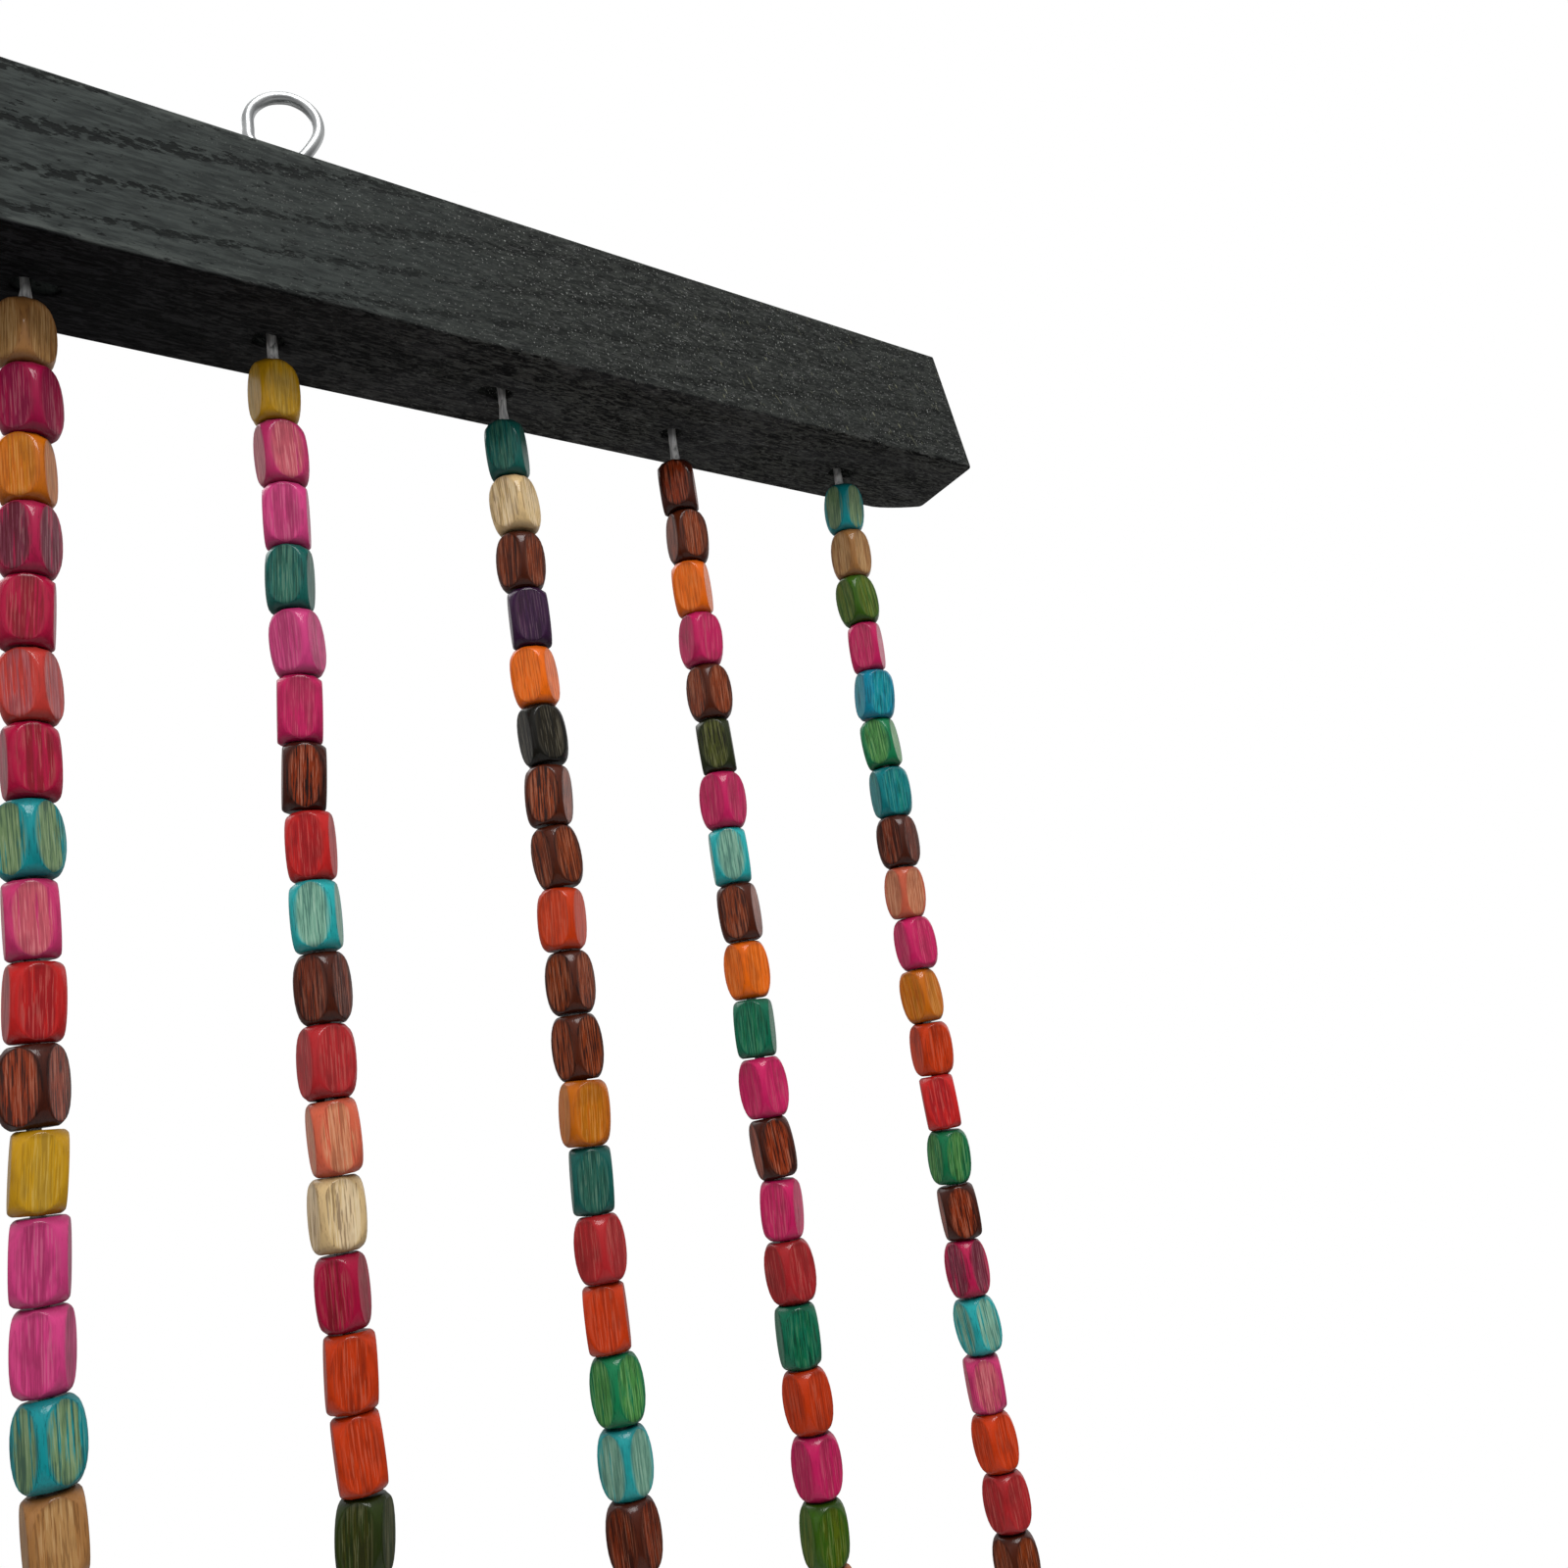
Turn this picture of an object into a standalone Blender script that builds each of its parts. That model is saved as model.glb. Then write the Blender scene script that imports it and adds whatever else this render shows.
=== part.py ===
"""Bead curtain: wooden beads strung on cords that hang from a black stained header bar with two screw eyes.

Metres, +Z up. X runs along the bar, -Y is the front. The origin is the point midway between the two eyes,
at the height where a hook bears inside them, so everything hangs below it.
"""

import math
import random
from collections import namedtuple

import bmesh
import bpy
from mathutils import Vector

MM = 0.001

# Header bar: a batten about 25 mm square, sawn to length by hand
BAR_LENGTH = 900 * MM
BAR_HEIGHT = 24.9 * MM
BAR_DEPTH = 24.0 * MM
BAR_ARRIS = 0.7 * MM
SawnEnd = namedtuple("SawnEnd", "overlength top_lean back_lean")
RIGHT_END = SawnEnd(overlength=0.8 * MM, top_lean=-6.2 * MM, back_lean=5.6 * MM)
LEFT_END = SawnEnd(overlength=0.0 * MM, top_lean=1.2 * MM, back_lean=-1.5 * MM)

# Screw eyes: bright wire 2 mm thick, bent to a ring and screwed into the top of the bar
EYE_WIRE = 2.0 * MM
EYE_RING_OUTSIDE = 12.6 * MM
EYE_RING_HEIGHT = 14.5 * MM
EYE_FROM_BAR_END = 138.9 * MM
EYE_SCREW_DEPTH = 12.0 * MM
SCREW_TIP_SHARE = 0.45
SCREW_TO_HOLE = 4.4 * MM
EYE_TURN = math.radians(-22)
RING_STEPS = 28
WIRE_SIDES = 8

# Strands: a cord through a drilled hole, knotted above the bar, with a column of beads below it
STRANDS = 23
END_MARGIN = 26.2 * MM
HOLE_SETBACK = 1.1 * MM
HOLE_DIAMETER = 3.6 * MM
HOLE_SIDES = 8
CORD_WIDTH = 1.7 * MM
KNOT_WIDTH = 5.2 * MM
KNOT_HEIGHT = 4.0 * MM
KNOT_NECK = 0.2 * MM
END_KNOT_WIDTH = 3.0 * MM
END_KNOT_HEIGHT = 3.4 * MM
END_KNOT_DROP = 0.9 * MM
BEAD_LENGTH = 10.0 * MM
BEAD_CORNERS = 8.2 * MM
BEAD_SHOULDER = 1.6 * MM
BEAD_END_SHARE = 0.65
CORD_TO_BEAD_STEP = 0.1 * MM
BEADS_A_STRAND = 176
BEADS_BETWEEN_BENDS = 11
STRAND_WANDER = 0.8 * MM
HOLE_WANDER = 2.4 * MM
BARE_CORD_RANGE = (2.4 * MM, 6.0 * MM)

# Outline of the two knots, from the top down, as shares of their height and half width
Outline = namedtuple("Outline", "height width")
KNOT_OUTLINE = (Outline(1.0, 0.45), Outline(0.6, 1.0), Outline(0.15, 0.9))
END_KNOT_OUTLINE = (Outline(0.6, 1.0), Outline(0.0, 0.5))

# The five holes nearest the right end, the last one first: how far off the even pitch each is drilled
# (+ is right), the cord left bare under the bar, and how far the strand hangs to the right at its first bend
Hole = namedtuple("Hole", "shift bare_cord sway")
RIGHT_HOLES = (
    Hole(shift=0.0 * MM, bare_cord=3.9 * MM, sway=-0.5 * MM),
    Hole(shift=-3.6 * MM, bare_cord=6.3 * MM, sway=0.0 * MM),
    Hole(shift=-0.9 * MM, bare_cord=6.0 * MM, sway=0.5 * MM),
    Hole(shift=-1.6 * MM, bare_cord=4.1 * MM, sway=0.0 * MM),
    Hole(shift=3.1 * MM, bare_cord=3.2 * MM, sway=-2.4 * MM),
)

CLEARANCE = 0.3 * MM
SCREW_CLEARANCE = 0.45 * MM
SEED = 23

RING_RADIUS = (EYE_RING_OUTSIDE - EYE_WIRE) / 2
HOOK_HEIGHT = EYE_RING_HEIGHT + RING_RADIUS - EYE_WIRE / 2
BAR_TOP = -HOOK_HEIGHT
BAR_BOTTOM = BAR_TOP - BAR_HEIGHT
BAR_FRONT = -HOLE_SETBACK - BAR_DEPTH / 2
BAR_BACK = BAR_FRONT + BAR_DEPTH
HOLE_PITCH = (BAR_LENGTH - 2 * END_MARGIN) / (STRANDS - 1)

# Colour, roughness and metallic value of each finish
FINISHES = {
    "stained_wood": ((0.012, 0.011, 0.010, 1.0), 0.62, 0.0),
    "bright_steel": ((0.62, 0.61, 0.58, 1.0), 0.24, 1.0),
    "dyed_beads": ((0.35, 0.10, 0.045, 1.0), 0.34, 0.0),
}


def clear_scene():
    for scene_object in list(bpy.data.objects):
        bpy.data.objects.remove(scene_object, do_unlink=True)


def new_collection(name):
    collection = bpy.data.collections.new(name)
    bpy.context.scene.collection.children.link(collection)
    return collection


def finish_material(name):
    """The Principled material of one finish, made the first time it is asked for."""
    if name in bpy.data.materials:
        return bpy.data.materials[name]
    colour, roughness, metallic = FINISHES[name]
    material = bpy.data.materials.new(name)
    material.use_nodes = True
    shader = material.node_tree.nodes["Principled BSDF"]
    shader.inputs["Base Color"].default_value = colour
    shader.inputs["Roughness"].default_value = roughness
    shader.inputs["Metallic"].default_value = metallic
    return material


def place(scene_object, collection, finish, parent):
    """Puts a finished piece in the curtain's collection, under the hanging point."""
    for other in list(scene_object.users_collection):
        other.objects.unlink(scene_object)
    collection.objects.link(scene_object)
    scene_object.data.materials.clear()
    scene_object.data.materials.append(finish_material(finish))
    scene_object.parent = parent


def object_from_bmesh(name, mesh_edit):
    mesh = bpy.data.meshes.new(name)
    mesh_edit.to_mesh(mesh)
    mesh_edit.free()
    return bpy.data.objects.new(name, mesh)


def upright_cylinder(mesh_edit, radius, sides, x, bottom, top, tip_radius=None):
    """A closed cylinder or cone from bottom to top on the line of the holes, its tip_radius at the bottom."""
    made = bmesh.ops.create_cone(
        mesh_edit,
        cap_ends=True,
        segments=sides,
        radius1=radius if tip_radius is None else tip_radius,
        radius2=radius,
        depth=top - bottom,
    )
    bmesh.ops.translate(mesh_edit, verts=made["verts"], vec=(x, 0.0, (top + bottom) / 2))


def clear_of_screws(x):
    """Moves a hole that would run into an eye's screw to the nearest place beside it."""
    for eye_x in eye_places().values():
        if abs(x - eye_x) < SCREW_TO_HOLE:
            return eye_x + math.copysign(SCREW_TO_HOLE, x - eye_x)
    return x


def hole_places():
    """Every hole from left to right: its X, the bare cord under it and the sway of its strand."""
    chance = random.Random(SEED)
    last_hole = BAR_LENGTH / 2 - END_MARGIN
    places = []
    for count_from_right in range(STRANDS):
        if count_from_right < len(RIGHT_HOLES):
            hole = RIGHT_HOLES[count_from_right]
        else:
            hole = Hole(
                shift=chance.uniform(-HOLE_WANDER, HOLE_WANDER),
                bare_cord=chance.uniform(*BARE_CORD_RANGE),
                sway=chance.uniform(-STRAND_WANDER, STRAND_WANDER),
            )
        x = last_hole - count_from_right * HOLE_PITCH + hole.shift
        places.append((clear_of_screws(x), hole.bare_cord, hole.sway))
    return places[::-1]


def eye_places():
    eye_x = BAR_LENGTH / 2 - EYE_FROM_BAR_END
    return {"screw_eye_left": -eye_x, "screw_eye_right": eye_x}


def drill_cutter(collection):
    """The holes for the cords, right through the bar, and the blind ones for the two screws."""
    drill = bmesh.new()
    past_faces = 5 * MM
    for x, _, _ in hole_places():
        upright_cylinder(drill, HOLE_DIAMETER / 2, HOLE_SIDES, x, BAR_BOTTOM - past_faces, BAR_TOP + past_faces)
    screw_room = EYE_WIRE / 2 + SCREW_CLEARANCE
    screw_hole_end = BAR_TOP - EYE_SCREW_DEPTH - SCREW_CLEARANCE
    for x in eye_places().values():
        upright_cylinder(drill, screw_room, HOLE_SIDES, x, screw_hole_end, BAR_TOP + past_faces)
    cutter = object_from_bmesh("drilled_holes", drill)
    cutter.hide_render = True
    cutter.display_type = "WIRE"
    collection.objects.link(cutter)
    return cutter


def build_header_bar(collection, cutters, parent):
    """The batten, with both ends sawn a little off square, its arrises eased and its holes drilled."""
    bar_edit = bmesh.new()
    corners = bmesh.ops.create_cube(bar_edit, size=1.0)["verts"]
    for corner in corners:
        is_top = corner.co.z > 0
        is_back = corner.co.y > 0
        end = RIGHT_END if corner.co.x > 0 else LEFT_END
        end_x = math.copysign(BAR_LENGTH / 2 + end.overlength, corner.co.x)
        corner.co.x = end_x + is_top * end.top_lean + is_back * end.back_lean
        corner.co.y = BAR_BACK if is_back else BAR_FRONT
        corner.co.z = BAR_TOP if is_top else BAR_BOTTOM
    bar = object_from_bmesh("header_bar", bar_edit)
    place(bar, collection, "stained_wood", parent)

    arris = bar.modifiers.new("eased_arrises", "BEVEL")
    arris.width = BAR_ARRIS
    arris.segments = 2
    drilled = bar.modifiers.new("drilled", "BOOLEAN")
    drilled.operation = "DIFFERENCE"
    drilled.object = drill_cutter(cutters)


def build_screw_eye(name, x, collection, cutters, parent):
    """A ring of wire on a tapering screw. The ring faces the front, turned a little."""
    bpy.ops.mesh.primitive_torus_add(
        major_segments=RING_STEPS,
        minor_segments=WIRE_SIDES,
        major_radius=RING_RADIUS,
        minor_radius=EYE_WIRE / 2,
        location=(x, 0.0, BAR_TOP + EYE_RING_HEIGHT),
        rotation=(math.pi / 2, 0.0, EYE_TURN),
    )
    eye = bpy.context.active_object
    eye.name = name
    eye.data.name = name

    screw_edit = bmesh.new()
    wire_radius = EYE_WIRE / 2
    shank_top = BAR_TOP + EYE_RING_HEIGHT - RING_RADIUS
    screw_tip = BAR_TOP - EYE_SCREW_DEPTH
    tip_radius = SCREW_TIP_SHARE * wire_radius
    upright_cylinder(screw_edit, wire_radius, WIRE_SIDES, 0.0, screw_tip, shank_top, tip_radius)
    screw = object_from_bmesh(name + "_screw", screw_edit)
    screw.location = (x, 0.0, 0.0)
    cutters.objects.link(screw)
    screw.hide_render = True
    screw.display_type = "WIRE"

    place(eye, collection, "bright_steel", parent)
    joined = eye.modifiers.new("screw", "BOOLEAN")
    joined.operation = "UNION"
    joined.object = screw


def strand_stations(bare_cord, sway, chance):
    """The places along one strand, from its knot down: height, distance off the line and half width."""
    Station = namedtuple("Station", "z off_x off_y half_width")
    cord = CORD_WIDTH / 2
    column = BEAD_CORNERS / 2
    bead_end = BEAD_END_SHARE * column
    knot_foot = BAR_TOP + CLEARANCE
    column_top = BAR_BOTTOM - bare_cord
    beads = BEADS_A_STRAND + chance.choice((-1, 0, 0, 1))
    column_foot = column_top - beads * BEAD_LENGTH
    end_knot_top = column_foot - END_KNOT_DROP
    end_knot_foot = end_knot_top - END_KNOT_HEIGHT

    def straight(z, half_width):
        return Station(z, 0.0, 0.0, half_width)

    stations = [
        straight(knot_foot + point.height * KNOT_HEIGHT, point.width * KNOT_WIDTH / 2) for point in KNOT_OUTLINE
    ]
    stations += [
        straight(knot_foot + KNOT_NECK, cord),
        straight(column_top + CORD_TO_BEAD_STEP, cord),
        straight(column_top, bead_end),
        straight(column_top - BEAD_SHOULDER, column),
    ]
    for bead in range(BEADS_BETWEEN_BENDS, beads - BEADS_BETWEEN_BENDS // 2, BEADS_BETWEEN_BENDS):
        off_x = sway if bead == BEADS_BETWEEN_BENDS else chance.uniform(-STRAND_WANDER, STRAND_WANDER)
        off_y = chance.uniform(-STRAND_WANDER, STRAND_WANDER)
        stations.append(Station(column_top - bead * BEAD_LENGTH, off_x, off_y, column))
    stations += [
        straight(column_foot + BEAD_SHOULDER, column),
        straight(column_foot, bead_end),
        straight(column_foot - CORD_TO_BEAD_STEP, cord),
        straight(end_knot_top, cord),
    ]
    stations += [
        straight(end_knot_foot + point.height * END_KNOT_HEIGHT, point.width * END_KNOT_WIDTH / 2)
        for point in END_KNOT_OUTLINE
    ]
    return stations


def build_strand(name, x, stations, collection, parent):
    """One strand: knot, cord and four-sided column of beads, a bevelled curve whose radius changes."""
    curve = bpy.data.curves.new(name, "CURVE")
    curve.dimensions = "3D"
    curve.twist_mode = "MINIMUM"
    curve.bevel_depth = 1 * MM
    curve.bevel_resolution = 0
    curve.use_fill_caps = True
    spline = curve.splines.new("POLY")
    spline.points.add(len(stations) - 1)
    for point, station in zip(spline.points, stations):
        point.co = (station.off_x, station.off_y, station.z, 1.0)
        point.radius = station.half_width / curve.bevel_depth
    strand = bpy.data.objects.new(name, curve)
    strand.location = Vector((x, 0.0, 0.0))
    place(strand, collection, "dyed_beads", parent)


def build_curtain():
    clear_scene()
    collection = new_collection("bead_curtain")
    cutters = new_collection("cutters")
    hanging_point = bpy.data.objects.new("hanging_point", None)
    collection.objects.link(hanging_point)

    build_header_bar(collection, cutters, hanging_point)
    for name, x in eye_places().items():
        build_screw_eye(name, x, collection, cutters, hanging_point)
    for number, (x, bare_cord, sway) in enumerate(hole_places(), start=1):
        stations = strand_stations(bare_cord, sway, random.Random(SEED + number))
        build_strand(f"strand_{number:02d}", x, stations, collection, hanging_point)


build_curtain()
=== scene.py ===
import math
import random
from itertools import product

import bmesh
import bpy
from mathutils import Matrix, Vector


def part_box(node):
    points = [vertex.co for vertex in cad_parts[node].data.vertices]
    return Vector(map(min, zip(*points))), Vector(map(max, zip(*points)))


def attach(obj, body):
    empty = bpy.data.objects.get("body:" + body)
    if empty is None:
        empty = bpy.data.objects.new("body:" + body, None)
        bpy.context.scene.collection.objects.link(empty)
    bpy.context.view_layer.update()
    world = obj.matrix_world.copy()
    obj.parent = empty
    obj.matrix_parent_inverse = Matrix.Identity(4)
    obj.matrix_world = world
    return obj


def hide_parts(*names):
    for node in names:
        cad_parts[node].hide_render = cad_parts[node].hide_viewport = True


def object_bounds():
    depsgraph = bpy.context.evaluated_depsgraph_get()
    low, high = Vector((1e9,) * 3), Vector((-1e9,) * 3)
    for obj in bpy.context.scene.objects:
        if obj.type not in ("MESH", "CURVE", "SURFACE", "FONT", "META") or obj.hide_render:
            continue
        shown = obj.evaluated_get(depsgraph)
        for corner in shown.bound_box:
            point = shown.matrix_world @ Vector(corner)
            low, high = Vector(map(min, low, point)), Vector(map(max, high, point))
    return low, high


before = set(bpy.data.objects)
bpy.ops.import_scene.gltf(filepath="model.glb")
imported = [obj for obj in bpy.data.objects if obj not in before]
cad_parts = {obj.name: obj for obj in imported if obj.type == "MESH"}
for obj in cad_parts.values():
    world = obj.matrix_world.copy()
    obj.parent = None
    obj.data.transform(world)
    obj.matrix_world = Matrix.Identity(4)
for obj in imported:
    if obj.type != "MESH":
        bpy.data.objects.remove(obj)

mm = 0.001
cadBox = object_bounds()
barLow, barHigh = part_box("header_bar")
strandNames = sorted(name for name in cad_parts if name.startswith("strand_"))
eyeNames = sorted(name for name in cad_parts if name.startswith("screw_eye_"))
print("frame loaded:", len(strandNames), "strands")


# Camera, low in front of the bar and looking up along it
camera = {
    "lens": 31.75,
    "sensor": 36.0,
    "turn": 41.45,
    "lookUp": 11.81,
    "roll": -8.5,
    "fromLastStrand": (-192.9 * mm, -187.5 * mm, -119.9 * mm),  # from where the last cord leaves the bar
}


def addCamera():
    data = bpy.data.cameras.new("camera")
    data.lens = camera["lens"]
    data.sensor_width = camera["sensor"]
    data.clip_start = 0.01
    data.clip_end = 50.0
    turn, lookUp, roll = (math.radians(camera[key]) for key in ("turn", "lookUp", "roll"))
    level = Vector((math.sin(turn), math.cos(turn), 0.0))
    side = Vector((math.cos(turn), -math.sin(turn), 0.0))
    ahead = level * math.cos(lookUp) + Vector((0, 0, math.sin(lookUp)))
    above = Vector((0, 0, math.cos(lookUp))) - level * math.sin(lookUp)
    right = side * math.cos(roll) + above * math.sin(roll)
    up = above * math.cos(roll) - side * math.sin(roll)
    lastLow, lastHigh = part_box(strandNames[-1])
    exitPoint = Vector(((lastLow.x + lastHigh.x) / 2, 0.0, barLow.z))
    holder = bpy.data.objects.new("camera", data)
    holder.matrix_world = Matrix((right, up, -ahead)).transposed().to_4x4()
    holder.location = exitPoint + Vector(camera["fromLastStrand"])
    bpy.context.scene.collection.objects.link(holder)
    bpy.context.scene.camera = holder


# Small helpers for node trees and meshes
def addNode(tree, kind, **settings):
    node = tree.nodes.new(kind)
    for key, value in settings.items():
        setattr(node, key, value)
    return node


def feed(tree, socket, value):  # links a socket, or sets a plain value
    if isinstance(value, bpy.types.NodeSocket):
        tree.links.new(value, socket)
    else:
        socket.default_value = value


def sums(tree, operation, *values):
    node = addNode(tree, "ShaderNodeMath", operation=operation)
    for socket, value in zip(node.inputs, values):
        feed(tree, socket, value)
    return node.outputs[0]


def vectorSums(tree, operation, *values):
    node = addNode(tree, "ShaderNodeVectorMath", operation=operation)
    for socket, value in zip(node.inputs, values):
        feed(tree, socket, value)
    return node.outputs[0]


def steps(tree, value, low, high, toLow=0.0, toHigh=1.0):  # smooth step from low to high
    node = addNode(tree, "ShaderNodeMapRange", interpolation_type="SMOOTHSTEP")
    for socket, entry in zip(node.inputs[:5], (value, low, high, toLow, toHigh)):
        feed(tree, socket, entry)
    return node.outputs[0]


def noise(tree, place, scale, detail=3.0, rough=0.5, twist=0.0):
    node = addNode(tree, "ShaderNodeTexNoise")
    feed(tree, node.inputs["Vector"], place)
    node.inputs["Scale"].default_value = scale
    node.inputs["Detail"].default_value = detail
    node.inputs["Roughness"].default_value = rough
    node.inputs["Distortion"].default_value = twist
    return node.outputs["Fac"]


def blendColours(tree, amount, first, second, way="MIX"):
    node = addNode(tree, "ShaderNodeMix", data_type="RGBA", blend_type=way)
    feed(tree, node.inputs["Factor"], amount)
    feed(tree, node.inputs["A"], first)
    feed(tree, node.inputs["B"], second)
    return node.outputs["Result"]


def colour(red, green, blue):  # 0 to 255 as on a screen, to the linear values that shaders take
    linear = []
    for level in (red, green, blue):
        linear.append(((level / 255 + 0.055) / 1.055) ** 2.4 if level > 10 else level / 255 / 12.92)
    return (*linear, 1.0)


def addBump(tree, height, strength, distance):
    bump = addNode(tree, "ShaderNodeBump")
    bump.inputs["Strength"].default_value = strength
    bump.inputs["Distance"].default_value = distance
    tree.links.new(height, bump.inputs["Height"])
    return bump.outputs[0]


def newMaterial(name):
    material = bpy.data.materials.new(name)
    material.use_nodes = True
    tree = material.node_tree
    return material, tree, tree.nodes["Principled BSDF"]


def growingTree(name, inputs):  # an empty tree with geometry in and out and its own named inputs
    tree = bpy.data.node_groups.new(name, "GeometryNodeTree")
    tree.interface.new_socket("Geometry", in_out="INPUT", socket_type="NodeSocketGeometry")
    sockets = {}
    for label, kind in inputs:
        sockets[label] = tree.interface.new_socket(label, in_out="INPUT", socket_type="NodeSocket" + kind)
    tree.interface.new_socket("Geometry", in_out="OUTPUT", socket_type="NodeSocketGeometry")
    return tree, sockets, addNode(tree, "NodeGroupInput"), addNode(tree, "NodeGroupOutput")


def namedAttribute(tree, name, kind):
    node = addNode(tree, "GeometryNodeInputNamedAttribute", data_type=kind)
    node.inputs["Name"].default_value = name
    return node.outputs["Attribute"]


def finishTree(tree, geometry, material, outward):  # every tree ends in real geometry with its material
    real = addNode(tree, "GeometryNodeRealizeInstances")
    finish = addNode(tree, "GeometryNodeSetMaterial")
    tree.links.new(geometry, real.inputs[0])
    tree.links.new(real.outputs[0], finish.inputs["Geometry"])
    tree.links.new(material, finish.inputs["Material"])
    tree.links.new(finish.outputs[0], outward.inputs[0])


def grow(name, source, tree, sockets, values):  # runs a tree on a source object and keeps a plain mesh
    modifier = source.modifiers.new("grow", "NODES")
    modifier.node_group = tree
    for label, value in values.items():
        modifier[sockets[label].identifier] = value
    bpy.context.view_layer.update()
    made = bpy.data.meshes.new_from_object(source.evaluated_get(bpy.context.evaluated_depsgraph_get()))
    made.name = name
    bpy.data.objects.remove(source)
    piece = bpy.data.objects.new(name, made)
    bpy.context.scene.collection.objects.link(piece)
    return piece


def showInstead(piece, node):
    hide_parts(node)
    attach(piece, "root")


def meshObject(name, points, faces=(), edges=()):
    data = bpy.data.meshes.new(name)
    data.from_pydata(points, edges, faces)
    data.update()
    piece = bpy.data.objects.new(name, data)
    bpy.context.scene.collection.objects.link(piece)
    return piece


def setAttribute(data, name, kind, values, domain="POINT"):
    attribute = data.attributes.new(name, kind, domain)
    key = {"FLOAT": "value", "BOOLEAN": "value", "FLOAT_VECTOR": "vector", "FLOAT_COLOR": "color"}[kind]
    flat = []
    for value in values:
        flat += value if isinstance(value, (tuple, Vector)) else (value,)
    attribute.data.foreach_set(key, flat)


# Beads: a barrel turned round its bore and cut flat on four sides, so that each flat ends in an arch
bead = {
    "length": 9.8 * mm,
    "flats": 6.15 * mm,
    "barrel": 8.15 * mm,
    "end": 5.0 * mm,
    "bore": 1.7 * mm,
    "fullness": 2.2,
    "doming": 0.55,
    "leastFlat": 4,  # degrees each way, where the barrel is too thin to be cut
    "softEdge": 5,  # degrees between a flat's rim and the barrel
    "flatStep": 0.86,  # the ring of points inside a flat's rim, as a share of the flat's half width
    "lastRing": 0.999,  # the barrel is sawn off just before its curve closes
    "closeRings": (0.99, 0.96, 0.91, 0.84, 0.73, 0.56, 0.32, 0.1),
    "plainRings": (0.9, 0.6),
}


def barrelRadius(along):
    swell = (1 - abs(along) ** bead["fullness"]) ** bead["doming"]
    return bead["end"] / 2 + (bead["barrel"] - bead["end"]) / 2 * swell


def beadRing(along, isClose):  # angle, radius and nearness to a flat's rim of each point round the bead
    barrel = barrelRadius(along)
    flat = bead["flats"] / 2
    reach = max(math.degrees(math.acos(min(flat / barrel, 1))), bead["leastFlat"])
    inner = bead["flatStep"] * reach
    soft = min(bead["softEdge"], (45 - reach) / 2)
    flatAngles = (-reach, -inner, 0, inner, reach) if isClose else (-reach, reach)
    barrelAngles = (reach + soft, 45, 90 - reach - soft) if isClose else (45,)
    ring = []
    for quarter in range(4):
        for angle in flatAngles:
            radius = min(barrel, flat / math.cos(math.radians(angle)))
            rim = abs(angle) / reach if barrel > flat else 1.0
            ring.append((90 * quarter + angle, radius, rim if isClose else 0.0))
        ring += [(90 * quarter + angle, barrel, 1.0) for angle in barrelAngles]
    return ring


def makeBead(name, isClose):
    upper = bead["closeRings"] if isClose else bead["plainRings"]
    heights = [1.0, *upper, *(-height for height in reversed(upper)), -1.0]
    rings = [(height, beadRing(height * bead["lastRing"], isClose)) for height in heights]
    if isClose:  # the ends run in to the bore, the plain ones are closed
        bore = [(angle, bead["bore"] / 2, 1.0) for angle, _, _ in rings[0][1]]
        rings = [(1.0, bore)] + rings + [(-1.0, bore)]
    points = []
    for height, ring in rings:
        for angle, radius, _ in ring:
            turn = math.radians(angle)
            points.append((radius * math.cos(turn), radius * math.sin(turn), height * bead["length"] / 2))
    count = len(rings[0][1])
    faces = []
    for ring in range(len(rings) - 1):
        for index in range(count):
            corners = ring * count + index, ring * count + (index + 1) % count
            faces.append((corners[0], corners[0] + count, corners[1] + count, corners[1]))
    if not isClose:
        faces += [tuple(range(count)), tuple(reversed(range(len(points) - count, len(points))))]
    shape = meshObject(name, points, faces)
    shape.data.shade_smooth()
    endRings = (1, len(rings) - 2) if isClose else (0, len(rings) - 1)
    sharp = []
    for edge in shape.data.edges:
        first, second = edge.vertices
        onEnd = first // count == second // count and first // count in endRings
        onRim = not isClose and first % count == second % count and first % 3 != 2  # a plain flat's rim
        sharp.append(onEnd or onRim)
    setAttribute(shape.data, "sharp_edge", "BOOLEAN", sharp, "EDGE")
    half = Vector((bead["flats"] / 2, bead["flats"] / 2, bead["length"] / 2))
    places = [(x / half.x, y / half.y, z / half.z) for x, y, z in points]
    setAttribute(shape.data, "beadPlace", "FLOAT_VECTOR", places)
    setAttribute(shape.data, "rim", "FLOAT", [rim for _, ring in rings for _, _, rim in ring])
    return shape


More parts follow.
